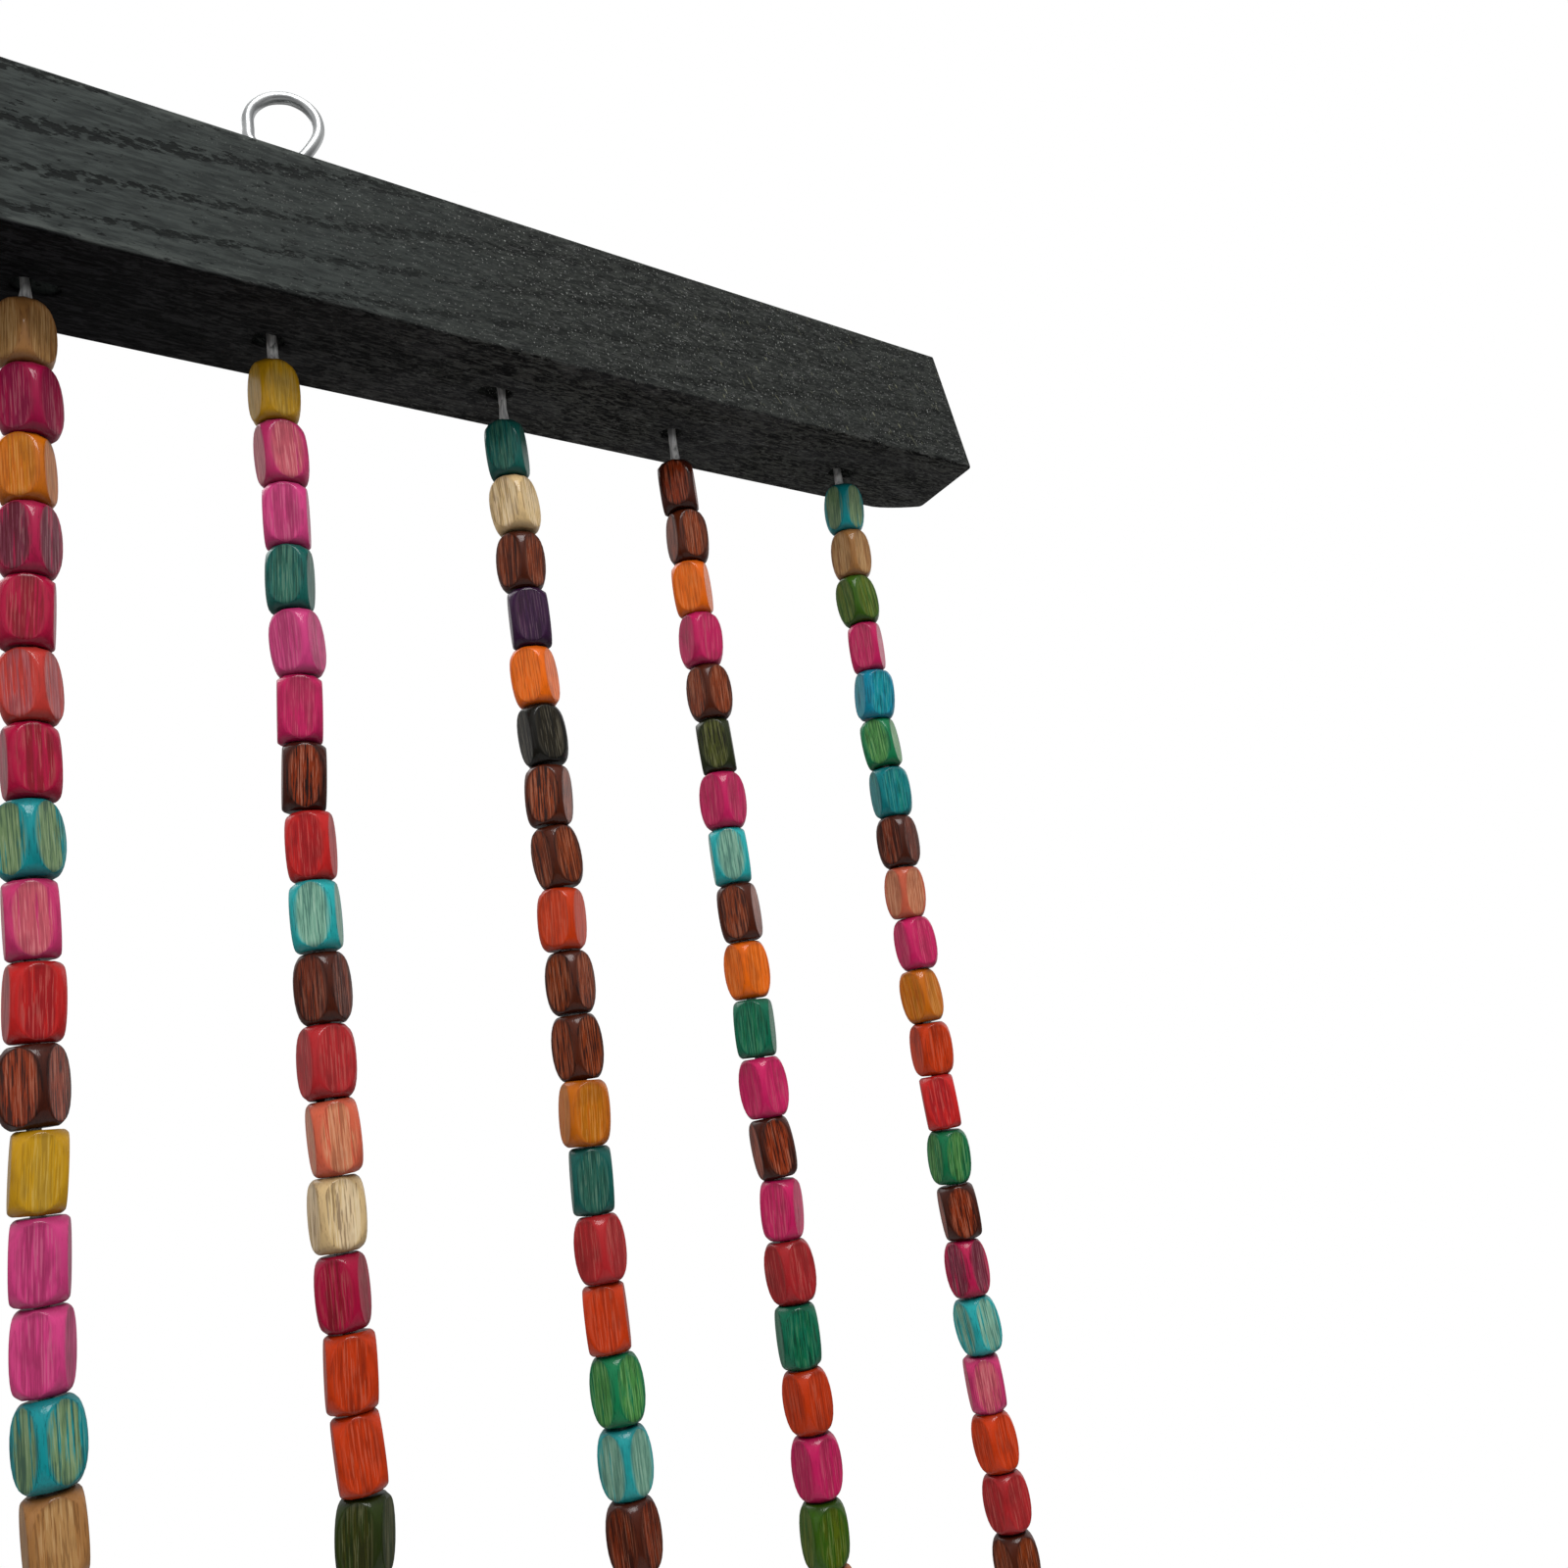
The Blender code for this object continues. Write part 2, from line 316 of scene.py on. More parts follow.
# Dyes, each with the colour of the worn flats, how far they are worn and how strong the grain is
dyes = {
    "tan": ((167, 117, 66), (181, 136, 84), 0.6, 0.6),
    "cream": ((217, 186, 134), (232, 205, 163), 0.6, 0.7),
    "amber": ((197, 104, 4), (192, 112, 4), 0.5, 0.4),
    "mustard": ((195, 146, 20), (185, 144, 41), 0.5, 0.35),
    "orange": ((198, 55, 4), (173, 47, 4), 0.5, 0.4),
    "lightOrange": ((240, 108, 4), (236, 111, 12), 0.5, 0.5),
    "salmon": ((208, 97, 69), (202, 125, 89), 0.9, 0.4),
    "coral": ((188, 54, 46), (167, 74, 79), 0.7, 0.3),
    "red": ((201, 33, 32), (171, 26, 32), 0.6, 0.4),
    "crimson": ((172, 33, 38), (156, 36, 38), 0.6, 0.3),
    "raspberry": ((172, 4, 57), (138, 4, 33), 0.6, 0.3),
    "magenta": ((197, 27, 92), (179, 39, 84), 0.5, 0.35),
    "pink": ((197, 51, 106), (197, 88, 102), 0.9, 0.45),
    "orchid": ((206, 62, 125), (179, 53, 106), 0.6, 0.35),
    "darkMagenta": ((160, 4, 65), (139, 4, 61), 0.7, 0.3),
    "plum": ((174, 21, 71), (112, 40, 61), 0.9, 0.7),
    "violet": ((51, 18, 55), (66, 30, 63), 0.4, 0.6),
    "chestnut": ((66, 20, 4), (137, 46, 4), 0.95, 1.0),
    "walnut": ((78, 27, 4), (132, 51, 4), 0.75, 1.0),
    "darkWalnut": ((73, 24, 4), (117, 40, 4), 0.6, 0.9),
    "teal": ((15, 93, 85), (45, 101, 85), 0.6, 0.7),
    "wornTeal": ((11, 144, 150), (117, 146, 102), 0.82, 0.6),
    "tealBlue": ((4, 118, 123), (4, 124, 116), 0.5, 0.7),
    "turquoise": ((33, 163, 165), (118, 167, 145), 0.85, 0.6),
    "blue": ((4, 141, 170), (4, 153, 164), 0.5, 0.9),
    "emerald": ((9, 115, 70), (67, 131, 63), 0.75, 0.7),
    "seaGreen": ((4, 104, 75), (4, 106, 69), 0.5, 0.9),
    "green": ((51, 89, 4), (82, 99, 4), 0.6, 0.6),
    "olive": ((36, 44, 12), (69, 74, 18), 0.7, 1.2),
    "charcoal": ((13, 11, 4), (28, 22, 4), 0.7, 0.7),
    "darkGreen": ((38, 52, 4), (53, 56, 4), 0.6, 0.6),
}

# How the strands at the right are strung, from the bar down, and how many degrees
# each bead is turned from having a flat towards the camera
stringing = {
    "strand_19": (
        "tan darkMagenta amber plum raspberry coral raspberry wornTeal pink red chestnut mustard orchid "
        "orchid wornTeal tan",
        (45, -32, -18, -32, -3, -25, 12, -40, 5, 12, -28, 5, -5, -15, 35, 10),
    ),
    "strand_20": (
        "mustard pink orchid teal orchid magenta chestnut red turquoise darkWalnut crimson salmon cream "
        "raspberry orange orange darkGreen",
        (25, 18, -5, -12, -28, 3, 4, -12, -10, -30, 25, 12, 18, -18, 5, 5, -20),
    ),
    "strand_21": (
        "teal cream walnut violet lightOrange charcoal walnut walnut orange walnut walnut amber teal "
        "crimson orange emerald turquoise darkWalnut",
        (-12, -30, -40, 5, -22, 25, -18, 38, -22, -35, 42, 20, 5, -38, -5, 40, -42, -35),
    ),
    "strand_22": (
        "chestnut walnut lightOrange magenta walnut olive magenta turquoise walnut lightOrange seaGreen "
        "magenta chestnut magenta crimson seaGreen orange magenta green amber",
        (-5, 25, -12, 35, 42, -3, -38, 5, -15, 40, -10, 45, 18, -20, 38, 12, 42, 40, 25, 10),
    ),
    "strand_23": (
        "wornTeal tan green magenta blue emerald tealBlue darkWalnut salmon magenta amber orange red "
        "emerald chestnut plum turquoise pink orange crimson walnut",
        (-40, -38, 43, -12, 25, -15, 22, -30, 42, 33, -35, 27, 3, 33, 10, -38, 38, 8, 40, 42, 40),
    ),
}

threading = {
    "pitch": 10.0 * mm,
    "closeCount": 26,  # beads of the full shape on each of the right-hand strands
    "closeStrands": 5,
    "slack": 0.3 * mm,
    "tilt": 4.0,  # degrees off the cord
    "sizeSpread": 0.035,
    "ovalSpread": 0.03,
    "lengthSpread": 0.012,
    "shadeSpread": 0.1,
    "wearRange": (0.8, 1.15),
    "grainRange": (0.7, 1.2),
    "seed": 41,
}


def strandLine(name):  # the middle of a strand's solid at each height where it has corners
    corners = sorted((tuple(v.co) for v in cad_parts[name].data.vertices), key=lambda c: -c[2])
    sameLevel = 0.4 * mm
    levels = []
    for corner in corners:
        if levels and levels[-1][-1][2] - corner[2] < sameLevel:
            levels[-1].append(corner)
        else:
            levels.append([corner])
    line = []
    for level in levels:
        middle = Vector(((min(c[0] for c in level) + max(c[0] for c in level)) / 2,
                         (min(c[1] for c in level) + max(c[1] for c in level)) / 2,
                         sum(c[2] for c in level) / len(level)))
        width = max(math.hypot(c[0] - middle.x, c[1] - middle.y) for c in level)
        line.append((middle, width))
    return line


def alongLine(line, height):
    for (above, _), (below, _) in zip(line, line[1:]):
        if above.z >= height >= below.z:
            share = (above.z - height) / max(above.z - below.z, 1e-9)
            return above.lerp(below, share)
    return line[-1][0]


def columnEnds(line):  # top and foot of the beads, where the solid is wider than its cord and knots
    leastWidth = 2.0 * mm
    wide = [middle.z for middle, width in line if middle.z < barLow.z and width > leastWidth]
    return max(wide), min(wide)


def beadPoints(name, number):  # a point for each bead, which carries its turn, size, dye and wear
    chance = random.Random(threading["seed"] + number)

    def around(spread):
        return 1 + chance.uniform(-spread, spread)

    line = strandLine(name)
    top, foot = columnEnds(line)
    count = round((top - foot) / threading["pitch"])
    pitch = (top - foot) / count
    known, knownTurns = stringing.get(name, ("", ()))
    strung = known.split() + [chance.choice(sorted(dyes)) for _ in range(count)]
    towardsCamera = bpy.context.scene.camera.location - line[0][0]
    facing = math.atan2(towardsCamera.y, towardsCamera.x)
    isNear = number > len(strandNames) - threading["closeStrands"]
    tilt = math.radians(threading["tilt"])
    points, turns, sizes, colours, wornColours, traits, near = [], [], [], [], [], [], []
    for index, dyeName in enumerate(strung[:count]):
        dye, worn, wear, grain = dyes[dyeName]
        wide = around(threading["sizeSpread"])
        height = top - (index + 0.5) * pitch
        shift = Vector((chance.uniform(-1, 1), chance.uniform(-1, 1), 0)) * threading["slack"]
        points.append(alongLine(line, height) + shift)
        if index < len(knownTurns):
            turn = math.radians(knownTurns[index])
        else:
            turn = chance.uniform(0, math.pi / 2)
        turns.append((chance.uniform(-tilt, tilt), chance.uniform(-tilt, tilt), facing + turn))
        sizes.append((wide, wide * around(threading["ovalSpread"]), around(threading["lengthSpread"])))
        shade = around(threading["shadeSpread"])
        colours.append(tuple(part * shade for part in colour(*dye)[:3]) + (1.0,))
        wornColours.append(tuple(part * shade for part in colour(*worn)[:3]) + (1.0,))
        seed = chance.uniform(0, 10)
        wear *= chance.uniform(*threading["wearRange"])
        grain *= chance.uniform(*threading["grainRange"])
        traits.append((seed, wear, grain))
        near.append(isNear and index < threading["closeCount"])
    threaded = meshObject(name + "_points", points)
    setAttribute(threaded.data, "turn", "FLOAT_VECTOR", turns)
    setAttribute(threaded.data, "size", "FLOAT_VECTOR", sizes)
    setAttribute(threaded.data, "dye", "FLOAT_COLOR", colours)
    setAttribute(threaded.data, "wornDye", "FLOAT_COLOR", wornColours)
    setAttribute(threaded.data, "trait", "FLOAT_VECTOR", traits)
    setAttribute(threaded.data, "near", "BOOLEAN", near)
    return threaded


def scatterTree():  # the near or the far shape at each point, by the points' own turn and size
    inputs = (("Near shape", "Object"), ("Far shape", "Object"), ("Finish", "Material"))
    tree, sockets, inward, outward = growingTree("scatterShapes", inputs)
    toTurn = addNode(tree, "FunctionNodeEulerToRotation")
    tree.links.new(namedAttribute(tree, "turn", "FLOAT_VECTOR"), toTurn.inputs[0])
    size = namedAttribute(tree, "size", "FLOAT_VECTOR")
    isNear = namedAttribute(tree, "near", "BOOLEAN")
    isFar = addNode(tree, "FunctionNodeBooleanMath", operation="NOT")
    tree.links.new(isNear, isFar.inputs[0])
    both = addNode(tree, "GeometryNodeJoinGeometry")
    for label, chosen in (("Near shape", isNear), ("Far shape", isFar.outputs[0])):
        shape = addNode(tree, "GeometryNodeObjectInfo")
        tree.links.new(inward.outputs[label], shape.inputs["Object"])
        onPoints = addNode(tree, "GeometryNodeInstanceOnPoints")
        tree.links.new(inward.outputs["Geometry"], onPoints.inputs["Points"])
        tree.links.new(shape.outputs["Geometry"], onPoints.inputs["Instance"])
        tree.links.new(chosen, onPoints.inputs["Selection"])
        tree.links.new(toTurn.outputs[0], onPoints.inputs["Rotation"])
        tree.links.new(size, onPoints.inputs["Scale"])
        tree.links.new(onPoints.outputs[0], both.inputs[0])
    finishTree(tree, both.outputs[0], inward.outputs["Finish"], outward)
    return tree, sockets


# Dyed wood under lacquer; lines, fibres and patches are noise scales across the grain and along it
lacquer = {
    "lines": (6.4, 0.3),
    "fibres": (13.0, 0.9),
    "patches": (1.3, 1.0),
    "wornFrom": 0.44,
    "wornFully": 0.54,
    "paleLines": 0.85,
    # the paler band inside each flat's rim, partly rubbed wear and partly a painted highlight
    "paleRimAndHighlight": 0.4,
    "darkPatches": 0.3,
    # the bead ends darker, partly gathered dye and partly painted shade where the beads meet
    "endDyeAndShade": 0.6,
    "darkTint": (0.22, 0.17, 0.17, 1.0),
    "bareWood": (0.75, 0.68, 0.52, 1.0),
    "bareWoodShare": 0.15,
    "specular": 0.1,
    "coat": 0.35,
    "coatRoughness": 0.08,
    "bump": 0.4,
    "bumpDepth": 0.07 * mm,
}


def beadLacquer():
    material, tree, shader = newMaterial("dyedLacqueredWood")
    place, trait, dye, worn, rim = (
        addNode(tree, "ShaderNodeAttribute", attribute_name=name)
        for name in ("beadPlace", "trait", "dye", "wornDye", "rim")
    )
    traits = addNode(tree, "ShaderNodeSeparateXYZ")
    tree.links.new(trait.outputs["Vector"], traits.inputs[0])
    seed, wear, grain = traits.outputs
    parts = addNode(tree, "ShaderNodeSeparateXYZ")
    tree.links.new(place.outputs["Vector"], parts.inputs[0])
    ownPart = addNode(tree, "ShaderNodeCombineXYZ")  # each bead takes its own part of the noise
    for socket, share in zip(ownPart.inputs, (17.3, 31.7, 7.9)):
        tree.links.new(sums(tree, "MULTIPLY", seed, share), socket)

    def stretched(scales, detail, rough=0.5):
        across, along = scales
        scaled = vectorSums(tree, "MULTIPLY", place.outputs["Vector"], (across, across, along))
        return noise(tree, vectorSums(tree, "ADD", scaled, ownPart.outputs[0]), 1.0, detail, rough)

    lines = stretched(lacquer["lines"], 3.0, 0.62)
    fibres = stretched(lacquer["fibres"], 2.0, 0.6)
    patches = stretched(lacquer["patches"], 2.0)
    across = sums(tree, "ABSOLUTE", parts.outputs[0])
    deep = sums(tree, "ABSOLUTE", parts.outputs[1])
    onFlat = steps(tree, sums(tree, "MAXIMUM", across, deep), 0.955, 0.99)
    flat = sums(tree, "MULTIPLY", onFlat, steps(tree, rim.outputs["Fac"], 1.0, 0.68))
    middle = sums(tree, "MULTIPLY", onFlat, steps(tree, rim.outputs["Fac"], 1.0, 0.3))
    # the ends: partly gathered dye, partly painted shade where the beads meet
    ends = steps(tree, sums(tree, "ABSOLUTE", parts.outputs[2]), 0.72, 1.0)

    # The dye is worn off in lines, most on the middles of the flats
    byWear = sums(tree, "MULTIPLY_ADD", wear, 0.42, -0.3)
    reach = sums(tree, "ADD", byWear, sums(tree, "MULTIPLY_ADD", patches, 0.4, -0.2))
    reach = sums(tree, "MULTIPLY_ADD", middle, 0.1, reach)
    wornHere = steps(tree, sums(tree, "ADD", lines, reach), lacquer["wornFrom"], lacquer["wornFully"])
    wornHere = sums(tree, "MULTIPLY", flat, wornHere)
    # a paler band inside each flat's rim: partly rubbed wear, partly a painted highlight along the edge
    rimWearAndHighlight = steps(tree, rim.outputs["Fac"], 0.74, 0.9)
    rimWearAndHighlight = sums(tree, "MULTIPLY", rimWearAndHighlight, steps(tree, lines, 0.42, 0.56))
    rimWearAndHighlight = sums(tree, "MULTIPLY", flat, rimWearAndHighlight)
    darkLines = sums(tree, "MULTIPLY", steps(tree, fibres, 0.53, 0.58), grain)
    darkLines = sums(tree, "MULTIPLY", darkLines, sums(tree, "MULTIPLY_ADD", onFlat, 0.6, 0.25))
    paleLines = sums(tree, "MULTIPLY", steps(tree, fibres, 0.45, 0.4), sums(tree, "MULTIPLY", flat, wear))

    dark = blendColours(tree, 1.0, dye.outputs["Color"], lacquer["darkTint"], "MULTIPLY")
    lighter = blendColours(tree, 0.6, worn.outputs["Color"], worn.outputs["Color"], "SCREEN")
    pale = blendColours(tree, lacquer["bareWoodShare"], lighter, lacquer["bareWood"])
    base = blendColours(tree, wornHere, dye.outputs["Color"], worn.outputs["Color"])
    base = blendColours(tree, darkLines, base, dark)
    for where, share, tint in (
        (paleLines, lacquer["paleLines"], pale),
        (rimWearAndHighlight, lacquer["paleRimAndHighlight"], pale),
        (steps(tree, patches, 0.5, 0.75), lacquer["darkPatches"], dark),
        (ends, lacquer["endDyeAndShade"], dark),
    ):
        base = blendColours(tree, sums(tree, "MULTIPLY", where, share), base, tint)
    tree.links.new(base, shader.inputs["Base Color"])
    tree.links.new(steps(tree, fibres, 0.3, 0.8, 0.4, 0.58), shader.inputs["Roughness"])
    shader.inputs["Specular IOR Level"].default_value = lacquer["specular"]
    shader.inputs["Coat Weight"].default_value = lacquer["coat"]
    shader.inputs["Coat Roughness"].default_value = lacquer["coatRoughness"]
    relief = addBump(tree, sums(tree, "ADD", fibres, lines), lacquer["bump"], lacquer["bumpDepth"])
    tree.links.new(relief, shader.inputs["Normal"])
    tree.links.new(relief, shader.inputs["Coat Normal"])
    return material


def threadBeads(tree, sockets):
    nearBead = makeBead("nearBead", True)
    farBead = makeBead("farBead", False)
    values = {"Near shape": nearBead, "Far shape": farBead, "Finish": beadLacquer()}
    for number, name in enumerate(strandNames, start=1):
        piece = grow("beads" + name[-3:], beadPoints(name, number), tree, sockets, values)
        showInstead(piece, name)
    bpy.data.objects.remove(nearBead)
    bpy.data.objects.remove(farBead)
    print("beads threaded")


# Cords: clear nylon from the knot above the bar to the knot under the last bead
cord = {
    "width": 1.7 * mm,
    "sides": 8,
    "smooth": 3,
    "headKnot": 1.5 * mm,
    "footKnot": 0.85 * mm,
    "knotSteps": 12,
    "knotLoops": 0.42,  # the trefoil's size by the knot's
    "knotRise": 1.9 * mm,
    "tail": 1.6 * mm,
    # how far below the bar the cord is painted dark as shade
    "shadeLength": 2.0 * mm,
    "roughness": 0.42,
    "bump": 0.6,
    "bumpDepth": 0.1 * mm,
}


def knotPoints(middle, size):  # an overhand knot, as a trefoil lying across the cord
    points = []
    for step in range(cord["knotSteps"]):
        angle = 2 * math.pi * step / cord["knotSteps"]
        x = math.sin(angle) + 2 * math.sin(2 * angle)
        y = math.cos(angle) - 2 * math.cos(2 * angle)
        points.append(middle + Vector((x, y, -math.sin(3 * angle))) * size * cord["knotLoops"])
    return points


def wireTree():  # a smooth round wire along the source's edges
    inputs = (("Width", "Float"), ("Sides", "Int"), ("Smooth", "Int"), ("Finish", "Material"))
    tree, sockets, inward, outward = growingTree("layWire", inputs)
    toCurve = addNode(tree, "GeometryNodeMeshToCurve")
    rounded = addNode(tree, "GeometryNodeCurveSplineType", spline_type="CATMULL_ROM")
    finer = addNode(tree, "GeometryNodeSetSplineResolution")
    circle = addNode(tree, "GeometryNodeCurvePrimitiveCircle", mode="RADIUS")
    tube = addNode(tree, "GeometryNodeCurveToMesh")
    tube.inputs["Fill Caps"].default_value = True
    smooth = addNode(tree, "GeometryNodeSetShadeSmooth")
    tree.links.new(inward.outputs["Geometry"], toCurve.inputs[0])
    tree.links.new(toCurve.outputs[0], rounded.inputs["Curve"])
    tree.links.new(rounded.outputs[0], finer.inputs["Geometry"])
    tree.links.new(inward.outputs["Smooth"], finer.inputs["Resolution"])
    tree.links.new(inward.outputs["Sides"], circle.inputs["Resolution"])
    tree.links.new(sums(tree, "MULTIPLY", inward.outputs["Width"], 0.5), circle.inputs["Radius"])
    tree.links.new(finer.outputs[0], tube.inputs["Curve"])
    tree.links.new(circle.outputs[0], tube.inputs["Profile Curve"])
    tree.links.new(tube.outputs[0], smooth.inputs["Geometry"])
    finishTree(tree, smooth.outputs[0], inward.outputs["Finish"], outward)
    return tree, sockets


def joinRuns(name, runs):  # each run is its points and whether it closes on itself
    points, edges = [], []
    for run, isClosed in runs:
        start = len(points)
        points += run
        edges += [(start + step, start + step + 1) for step in range(len(run) - 1)]
        if isClosed:
            edges.append((start + len(run) - 1, start))
    return meshObject(name, points, edges=edges)


def cordNylon():
    material, tree, shader = newMaterial("clearNylon")
    spot = addNode(tree, "ShaderNodeTexCoord").outputs["Object"]
    fibres = noise(tree, vectorSums(tree, "MULTIPLY", spot, (2600.0, 2600.0, 260.0)), 1.0, 3.0)
    base = blendColours(tree, steps(tree, fibres, 0.38, 0.6), colour(186, 186, 188), colour(246, 246, 244))
    parts = addNode(tree, "ShaderNodeSeparateXYZ")
    tree.links.new(spot, parts.inputs[0])
    height = parts.outputs[2]
    shadeNearHole = steps(tree, height, barLow.z - cord["shadeLength"], barLow.z)  # painted shade where the cord leaves the hole, as the bar shades it
    inHole = steps(tree, height, barHigh.z + 1.0 * mm, barHigh.z, 0.0, 0.8)
    base = blendColours(tree, sums(tree, "MULTIPLY", shadeNearHole, inHole), base, colour(46, 46, 46))
    tree.links.new(base, shader.inputs["Base Color"])
    shader.inputs["Roughness"].default_value = cord["roughness"]
    tree.links.new(addBump(tree, fibres, cord["bump"], cord["bumpDepth"]), shader.inputs["Normal"])
    return material


def layCords(tree, sockets):
    values = {"Width": cord["width"], "Sides": cord["sides"], "Smooth": cord["smooth"]}
    values["Finish"] = cordNylon()
    for name in strandNames:
        line = strandLine(name)
        top, foot = columnEnds(line)
        headKnot = Vector((line[0][0].x, line[0][0].y, barHigh.z + cord["knotRise"]))
        footKnot = Vector((line[-1][0].x, line[-1][0].y, foot - cord["knotRise"]))
        tail = footKnot - Vector((0, 0, cord["tail"]))
        along = [middle for middle, _ in line if foot < middle.z < barLow.z - 1 * mm]
        runs = (
            (knotPoints(headKnot, cord["headKnot"]), True),
            (knotPoints(footKnot, cord["footKnot"]), True),
            ([headKnot] + along + [footKnot, tail], False),
        )
        piece = grow("cord" + name[-3:], joinRuns(name + "_line", runs), tree, sockets, values)
        showInstead(piece, name)
    print("cords laid")


# Header bar: the frame's own outline in a fine grid, weathered by a tree and drilled
timber = {
    "stepAlong": 2.0 * mm,
    "stepAround": 0.62 * mm,
    "arris": 0.5 * mm,
    "calm": 2.5 * mm,  # no relief nearer than this to an arris or an end
    "poreDepth": 0.12 * mm,
    "swell": 0.25 * mm,
    "wornCorner": 6.0 * mm,
    "wornLength": 14.0 * mm,
    "wornTaper": 1.5,
    "ringPitch": 7.0 * mm,
    "ringSlope": 0.135,  # where the grain lies steepest, along the bar
    "steepest": 0.34,
    "ringSweep": 0.2,
    "ringShift": 9.4,
    "ringTilt": 0.35,  # how much the rings climb from front to back
    "ringWander": 0.8,
    "wanderScales": (22.0, 80.0, 80.0),
    "poreScales": (620.0, 1500.0, 1500.0),
    "swellScales": (20.0, 90.0, 90.0),
    "endRings": (0.92, 0.75, 0.5, 0.25),
    "mouth": 5.6 * mm,
    "mouthDepth": 2.4 * mm,
    "mouthStretch": (1.15, 0.9),
    "mouthPull": 0.7,  # how much of its shift a mouth's middle takes
    "mouthAside": 1.4 * mm,  # the most that the other mouths shift
    "bore": 3.8 * mm,
    "boreOvershoot": 4.0 * mm,
    "roughness": 0.16,
    "seed": 7,
}

# How far each hole's broken mouth lies to one side of its cord, where that shows
mouthShifts = {
    "strand_19": 3.0 * mm,
    "strand_20": -1.0 * mm,
    "strand_21": -2.8 * mm,
    "strand_22": -0.3 * mm,
    "strand_23": 2.6 * mm,
}


def cornerReach(isRight, isBack, isTop):  # how far the frame's bar reaches along X at one of its corners
    near = 2.0 * mm
    chosen = [
        v.co.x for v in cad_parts["header_bar"].data.vertices
        if (v.co.y > barHigh.y - near if isBack else v.co.y < barLow.y + near)
        and (v.co.z > barHigh.z - near if isTop else v.co.z < barLow.z + near)
    ]
    return max(chosen) if isRight else min(chosen)


def sectionLoop():  # points round the bar's section, with eased arrises
    ease = timber["arris"]
    arcs = []
    for y, z, start in (
        (barLow.y + ease, barLow.z + ease, 180),
        (barHigh.y - ease, barLow.z + ease, 270),
        (barHigh.y - ease, barHigh.z - ease, 0),
        (barLow.y + ease, barHigh.z - ease, 90),
    ):
        turns = [math.radians(start + turn) for turn in (0, 30, 60, 90)]
        arcs.append([(y + ease * math.cos(turn), z + ease * math.sin(turn)) for turn in turns])
    loop = []
    for arc, following in zip(arcs, arcs[1:] + arcs[:1]):
        (startY, startZ), (endY, endZ) = arc[-1], following[0]
        count = round(math.dist(arc[-1], following[0]) / timber["stepAround"])
        loop += arc
        for step in range(1, count):
            loop.append((startY + (endY - startY) * step / count, startZ + (endZ - startZ) * step / count))
    return loop


def wornAway(y, z, fromEnd):  # the lower back arris is rubbed round towards the right end
    if fromEnd > timber["wornLength"]:
        return y, z
    radius = timber["wornCorner"] * (1 - fromEnd / timber["wornLength"]) ** timber["wornTaper"]
    outY, outZ = y - (barHigh.y - radius), (barLow.z + radius) - z
    far = math.hypot(outY, outZ)
    if outY <= 0 or outZ <= 0 or far <= radius:
        return y, z
    return barHigh.y - radius + outY * radius / far, barLow.z + radius - outZ * radius / far


def rawBar():  # the bar's skin from sawn end to sawn end, with rings across both ends
    loop = sectionLoop()
    sides = (False, True)
    reach = {key: cornerReach(*key) for key in product(sides, sides, sides)}
    depth, height = barHigh.y - barLow.y, barHigh.z - barLow.z
    middleY, middleZ = (barLow.y + barHigh.y) / 2, (barLow.z + barHigh.z) / 2

    def endAt(isRight, y, z):
        back, top = (y - barLow.y) / depth, (z - barLow.z) / height
        low = reach[isRight, False, False] * (1 - back) + reach[isRight, True, False] * back
        high = reach[isRight, False, True] * (1 - back) + reach[isRight, True, True] * back
        return low * (1 - top) + high * top

    points, faces, calm = [], [], []
    count = len(loop)
    lengthwise = round((barHigh.x - barLow.x) / timber["stepAlong"])
    for step in range(lengthwise + 1):
        share = step / lengthwise
        for y, z in loop:
            left, right = endAt(False, y, z), endAt(True, y, z)
            x = left * (1 - share) + right * share
            fromArris = depth / 2 - abs(y - middleY) + height / 2 - abs(z - middleZ)
            calm.append(min(fromArris, x - left, right - x) / timber["calm"])
            points.append((x, *wornAway(y, z, right - x)))
    for step in range(lengthwise):
        for index in range(count):
            corner, beside = step * count + index, step * count + (index + 1) % count
            faces.append((corner, beside, beside + count, corner + count))
    for isRight in sides:
        outer = (lengthwise if isRight else 0) * count
        rim = points[outer:outer + count]
        for share in timber["endRings"]:
            inner = len(points)
            for _, y, z in rim:
                ringY, ringZ = middleY + (y - middleY) * share, middleZ + (z - middleZ) * share
                points.append((endAt(isRight, ringY, ringZ), ringY, ringZ))
                calm.append(0.0)
            for index in range(count):
                beside = (index + 1) % count
                face = (outer + index, outer + beside, inner + beside, inner + index)
                faces.append(face if isRight else face[::-1])
            outer = inner
        cap = tuple(range(outer, outer + count))
        faces.append(cap if isRight else cap[::-1])
    raw = meshObject("rawBar", points, faces)
    setAttribute(raw.data, "relief", "FLOAT", [min(max(0.0, share), 1.0) for share in calm])
    edit = bmesh.new()
    edit.from_mesh(raw.data)
    bmesh.ops.recalc_face_normals(edit, faces=edit.faces)
    edit.to_mesh(raw.data)
    edit.free()
    return raw


